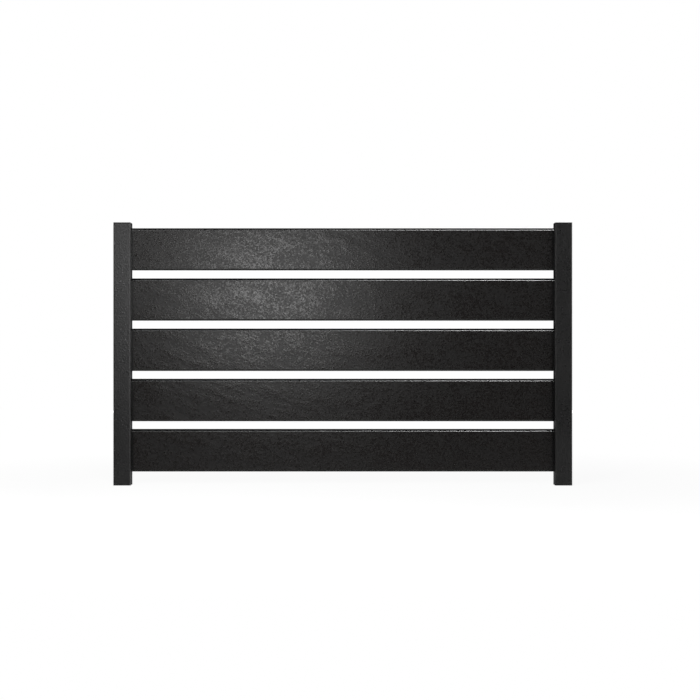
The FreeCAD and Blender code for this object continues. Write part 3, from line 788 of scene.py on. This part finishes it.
    # Two screws at each post, heads to the bay
    heights = {0: given["High Screw"], 1: given["Low Screw"]}
    rise = add(tree, "ShaderNodeMath", heights, operation="SUBTRACT")
    pair = add(
        tree,
        "GeometryNodeMeshLine",
        {
            "Count": 2,
            "Start Location": add(tree, "ShaderNodeCombineXYZ", {"Z": given["Low Screw"]}),
            "Offset": add(tree, "ShaderNodeCombineXYZ", {"Z": rise}),
        },
        mode="OFFSET",
    )
    under_head = {0: given["Tip Reach"], 1: given["Shank Length"]}
    seat = add(tree, "ShaderNodeMath", under_head, operation="SUBTRACT")
    whole = add(tree, "GeometryNodeJoinGeometry")
    for side in (-1.0, 1.0):
        placed = add(
            tree,
            "GeometryNodeInstanceOnPoints",
            {"Points": pair, "Instance": driven, "Rotation": (0.0, -side * math.pi / 2, 0.0)},
        )
        across = add(tree, "ShaderNodeMath", {0: seat, 1: side}, operation="MULTIPLY")
        aside = add(tree, "ShaderNodeCombineXYZ", {"X": across})
        moved = add(tree, "GeometryNodeTransform", {"Geometry": placed, "Translation": aside})
        tree.links.new(moved, whole.node.inputs[0])
    real = add(tree, "GeometryNodeRealizeInstances", {"Geometry": whole})
    dressed = add(tree, "GeometryNodeSetMaterial", {"Geometry": real, "Material": given["Material"]})
    add(tree, "NodeGroupOutput", {"Geometry": dressed})
    return tree


# Operators


class FENCE_OT_boards(bpy.types.Operator):
    """Sweep the five hollow boards with their embossed faces"""

    bl_idname = "fence.make_boards"
    bl_label = "Make Boards"

    def execute(self, context):
        look = context.scene.fence_boards
        tree = board_tree()
        finish = composite(look)
        for number, node in enumerate(BOARDS):
            low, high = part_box(node)
            piece = grow(
                f"{node}_embossed",
                tree,
                {
                    "Length": high[0] - low[0],
                    "Thickness": high[1] - low[1],
                    "Face Height": look.face_height,
                    "Bevel Rise": look.bevel_rise,
                    "Nose Round": look.nose_round,
                    "Arris Round": look.arris_round,
                    "Wall": look.wall,
                    "Web": look.web,
                    "Chambers": look.chambers,
                    "Grain Depth": look.grain_depth,
                    "Grain Length": look.grain_length,
                    "Grain Width": look.grain_width,
                    "Plain End": PLAIN_END,
                    "Seed": look.seed + SEED_STEP * number,
                    "Centre Height": (low[2] + high[2]) / 2,
                    "Material": finish,
                },
            )
            attach(piece, "board", node)
        return {"FINISHED"}


class FENCE_OT_posts(bpy.types.Operator):
    """Powder coat the posts and the covers of their outer slots"""

    bl_idname = "fence.finish_posts"
    bl_label = "Finish Posts"

    def execute(self, context):
        finish = powder_coat(context.scene.fence_posts)
        finish_nodes(finish, [f"{side}_{part}" for side in SIDES for part in ("post", "slot_cover")])
        return {"FINISHED"}


class FENCE_OT_caps(bpy.types.Operator):
    """Finish the moulded post caps"""

    bl_idname = "fence.finish_caps"
    bl_label = "Finish Caps"

    def execute(self, context):
        look = context.scene.fence_small_parts
        finish = moulded("Moulded nylon", look.cap, grit=3 * MM, roughness=0.45)
        finish_nodes(finish, [f"{side}_post_cap" for side in SIDES])
        return {"FINISHED"}


class FENCE_OT_blocks(bpy.types.Operator):
    """Finish the spacers, rests and retainers in the slots"""

    bl_idname = "fence.finish_blocks"
    bl_label = "Finish Blocks"

    def execute(self, context):
        look = context.scene.fence_small_parts
        parts = [f"gap_spacer_{number}" for number in range(1, 5)] + ["board_rest", "top_retainer"]
        finish = moulded("Moulded polypropylene", look.block, grit=4 * MM, roughness=0.5)
        finish_nodes(finish, [f"{side}_{part}" for side in SIDES for part in parts])
        return {"FINISHED"}


class FENCE_OT_gaskets(bpy.types.Operator):
    """Finish the rubber strips between boards and posts"""

    bl_idname = "fence.finish_gaskets"
    bl_label = "Finish Gaskets"

    def execute(self, context):
        look = context.scene.fence_small_parts
        finish = moulded("Extruded rubber", look.rubber, grit=2 * MM, roughness=0.7)
        finish_nodes(finish, [f"{side}_{face}_gasket" for side in SIDES for face in ("front", "rear")])
        return {"FINISHED"}


class FENCE_OT_screws(bpy.types.Operator):
    """Make the four retaining screws"""

    bl_idname = "fence.make_screws"
    bl_label = "Make Screws"

    def execute(self, context):
        look = context.scene.fence_small_parts
        low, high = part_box("retaining_screws")
        piece = grow(
            "retaining_screws_threaded",
            screw_tree(),
            {
                "Head Radius": look.head_radius,
                "Head Height": 2.8 * MM,
                "Head Bevel": 1.2 * MM,
                "Shank Radius": look.shank_radius,
                "Shank Length": look.shank_length,
                "Point Length": 4 * MM,
                "Tip Radius": 0.3 * MM,
                "Thread Pitch": look.thread_pitch,
                "Thread Depth": 0.5 * MM,
                "Recess Radius": 2.2 * MM,
                "Recess Depth": 1.6 * MM,
                "Tip Reach": high[0],
                "Low Screw": low[2] + look.head_radius,
                "High Screw": high[2] - look.head_radius,
                "Material": stainless(look),
            },
        )
        attach(piece, "screw", "retaining_screws")
        return {"FINISHED"}


class FENCE_OT_stage(bpy.types.Operator):
    """Lay the floor, hang the dark cloth, place the lamps and the camera"""

    bl_idname = "fence.make_stage"
    bl_label = "Make Stage"

    def execute(self, context):
        look = context.scene.fence_stage
        self.room(context.scene, look)
        self.floor(context.scene, look)
        self.cloth(context.scene, look)
        self.lamp("Key soft box", look.key_power, **KEY)
        self.lamp("Left kicker", look.kicker_power, **KICKER)
        strip = self.lamp("Top strip", look.strip_power, **STRIP)
        strip.visible_diffuse = False
        strip.data.spread = look.strip_spread
        self.fade(strip, low=0.18, start=0.28, end=0.6)
        self.camera(context.scene, look)
        return {"FINISHED"}

    def seen(self, tree):
        """One where the eye, a reflection or a refraction looks, and zero where light is gathered."""
        light = add(tree, "ShaderNodeLightPath").node.outputs
        direct = {0: light["Is Camera Ray"], 1: light["Is Glossy Ray"]}
        first = add(tree, "ShaderNodeMath", direct, operation="MAXIMUM")
        either = {0: first, 1: light["Is Transmission Ray"]}
        return add(tree, "ShaderNodeMath", either, operation="MAXIMUM")

    def room(self, scene, look):
        """A white room whose light on the object is set apart from how white it looks."""
        world = bpy.data.worlds.new("Studio")
        world.use_nodes = True
        tree = world.node_tree
        strength = add(tree, "ShaderNodeMapRange", {"Value": self.seen(tree), "To Min": look.ambient})
        back = tree.nodes["Background"]
        back.inputs["Color"].default_value = (1.0, 1.0, 1.0, 1.0)
        tree.links.new(strength, back.inputs["Strength"])
        scene.world = world

    def sheet(self, scene, name, corners, faces, material):
        """A stage sheet from its corner points."""
        mesh = bpy.data.meshes.new(name)
        mesh.from_pydata(corners, [], faces)
        mesh.materials.append(material)
        sheet = bpy.data.objects.new(name, mesh)
        scene.collection.objects.link(sheet)
        return sheet

    def floor(self, scene, look):
        """A pale floor that looks white and still takes a faint shadow."""
        material = bpy.data.materials.new("Pale studio floor")
        material.use_nodes = True
        tree = material.node_tree
        shader = tree.nodes["Principled BSDF"]
        shader.inputs["Base Color"].default_value = tuple(look.floor)
        shader.inputs["Roughness"].default_value = 0.9
        shader.inputs["Specular IOR Level"].default_value = 0.0
        shader.inputs["Emission Color"].default_value = (1.0, 1.0, 1.0, 1.0)
        place = add(tree, "ShaderNodeTexCoord").node.outputs["Object"]
        away = add(tree, "ShaderNodeVectorMath", {0: place}, operation="LENGTH")
        whiter = {"Value": away, "From Min": GLOW_NEAR, "From Max": GLOW_FAR, "To Min": 0.95}
        white = add(tree, "ShaderNodeMapRange", whiter)
        glow = add(tree, "ShaderNodeMath", {0: self.seen(tree), 1: white}, operation="MULTIPLY")
        tree.links.new(glow, shader.inputs["Emission Strength"])
        signs = ((-1, -1), (1, -1), (1, 1), (-1, 1))
        corners = [(x * FLOOR_HALF, y * FLOOR_HALF, 0) for x, y in signs]
        self.sheet(scene, "studio_floor", corners, [(0, 1, 2, 3)], material)

    def dull(self, name, colour):
        """A dull stage cloth in one colour."""
        material = bpy.data.materials.new(name)
        material.use_nodes = True
        shader = material.node_tree.nodes["Principled BSDF"]
        shader.inputs["Base Color"].default_value = tuple(colour)
        shader.inputs["Roughness"].default_value = 1.0
        shader.inputs["Specular IOR Level"].default_value = 0.0
        return material

    def cloth(self, scene, look):
        """Dark cloth in front and overhead and a grey card behind, out of the camera's sight."""
        dark = self.dull("Dark studio cloth", look.cloth)
        grey = self.dull("Grey studio card", look.card)
        graded = self.dull("Graded studio cloth", look.cloth)
        tree = graded.node_tree
        place = add(tree, "ShaderNodeTexCoord").node.outputs["Object"]
        nearness = add(tree, "ShaderNodeSeparateXYZ", {"Vector": place}).node.outputs["Y"]
        nearer = {"Value": nearness, "From Min": -1.5, "From Max": -0.1, "To Max": 0.5}
        share = add(tree, "ShaderNodeMapRange", nearer, interpolation_type="SMOOTHSTEP")
        shades = {"Factor": share, COLOUR_A: tuple(look.cloth), COLOUR_B: tuple(look.card)}
        colour = add(tree, "ShaderNodeMix", shades, data_type="RGBA").node.outputs[COLOUR_OUT]
        tree.links.new(colour, tree.nodes["Principled BSDF"].inputs["Base Color"])
        # Each sheet is a row of points in depth and height, swept across the stage
        tunnel = [
            (-ROOM_DEPTH, MAT_LIFT),
            (-ROOM_DEPTH, ROOM_HEIGHT),
            (ROOM_DEPTH, ROOM_HEIGHT),
            (ROOM_DEPTH, MAT_LIFT),
        ]
        mat = [(-ROOM_DEPTH, MAT_LIFT), (0.0, MAT_LIFT)]
        card = [(-ROOM_DEPTH, CARD_LIFT), (ROOM_DEPTH, CARD_LIFT)]
        sheets = (
            ("studio_tunnel", ROOM_HALF, tunnel, dark),
            ("studio_mat", MAT_HALF, mat, graded),
            ("studio_card", ROOM_HALF, card, grey),
        )
        for name, half, side, material in sheets:
            corners = [(x, y, z) for x in (-half, half) for y, z in side]
            count = len(side)
            faces = [(i, i + 1, count + i + 1, count + i) for i in range(count - 1)]
            if name == "studio_tunnel":
                faces.append((0, 1, 2, 3))
            sheet = self.sheet(scene, name, corners, faces, material)
            sheet.visible_camera = False
            sheet.visible_shadow = False
            sheet.visible_diffuse = name != "studio_tunnel"

    def lamp(self, name, power, size, spot, aim):
        """A soft rectangular lamp that points at a spot."""
        light = bpy.data.lights.new(name, "AREA")
        light.shape = "RECTANGLE"
        light.size, light.size_y = size
        light.energy = power
        lamp = bpy.data.objects.new(name, light)
        lamp.location = spot
        lamp.rotation_euler = (Vector(aim) - Vector(spot)).to_track_quat("-Z", "Y").to_euler()
        lamp.visible_camera = False
        bpy.context.scene.collection.objects.link(lamp)
        return lamp

    def fade(self, lamp, low, start, end):
        """Dim a lamp along its width, from a low share of its strength to all of it."""
        lamp.data.use_nodes = True
        tree = lamp.data.node_tree
        spot = add(tree, "ShaderNodeNewGeometry").node.outputs["Parametric"]
        across = add(tree, "ShaderNodeSeparateXYZ", {"Vector": spot})
        dimmed = {"Value": across, "From Min": start, "From Max": end, "To Min": low}
        share = add(tree, "ShaderNodeMapRange", dimmed, interpolation_type="SMOOTHSTEP")
        tree.links.new(share, tree.nodes["Emission"].inputs["Strength"])

    def camera(self, scene, look):
        """A level camera, square to the front."""
        lens = bpy.data.cameras.new("Camera")
        lens.lens = look.lens
        lens.sensor_width = SENSOR_WIDTH
        camera = bpy.data.objects.new("Camera", lens)
        camera.location = CAMERA_SPOT
        camera.rotation_euler = (math.pi / 2, 0.0, 0.0)
        scene.collection.objects.link(camera)
        scene.camera = camera
        scene.view_settings.view_transform = "Standard"


class FENCE_PT_panel(bpy.types.Panel):
    """Lists the steps that dress the fence bay"""

    bl_idname = "FENCE_PT_panel"
    bl_label = "Composite Fence Bay"
    bl_space_type = "VIEW_3D"
    bl_region_type = "UI"
    bl_category = "Fence"

    def draw(self, context):
        for step in STEPS:
            self.layout.operator(step.bl_idname)
        for name, kind in SETTINGS.items():
            box = self.layout.box()
            box.label(text=kind.__doc__)
            for title in kind.__annotations__:
                box.prop(getattr(context.scene, name), title)


SETTINGS = {
    "fence_boards": BoardSettings,
    "fence_posts": PostSettings,
    "fence_small_parts": SmallPartSettings,
    "fence_stage": StageSettings,
}
STEPS = (
    FENCE_OT_boards,
    FENCE_OT_posts,
    FENCE_OT_caps,
    FENCE_OT_blocks,
    FENCE_OT_gaskets,
    FENCE_OT_screws,
    FENCE_OT_stage,
)


def register():
    for kind in (*SETTINGS.values(), *STEPS, FENCE_PT_panel):
        bpy.utils.register_class(kind)
    for name, kind in SETTINGS.items():
        setattr(bpy.types.Scene, name, bpy.props.PointerProperty(type=kind))


def unregister():
    for name in SETTINGS:
        delattr(bpy.types.Scene, name)
    for kind in reversed((*SETTINGS.values(), *STEPS, FENCE_PT_panel)):
        bpy.utils.unregister_class(kind)


def main():
    register()
    bpy.ops.fence.make_boards()
    bpy.ops.fence.finish_posts()
    bpy.ops.fence.finish_caps()
    bpy.ops.fence.finish_blocks()
    bpy.ops.fence.finish_gaskets()
    bpy.ops.fence.make_screws()
    bpy.ops.fence.make_stage()


if __name__ == "__main__":
    main()
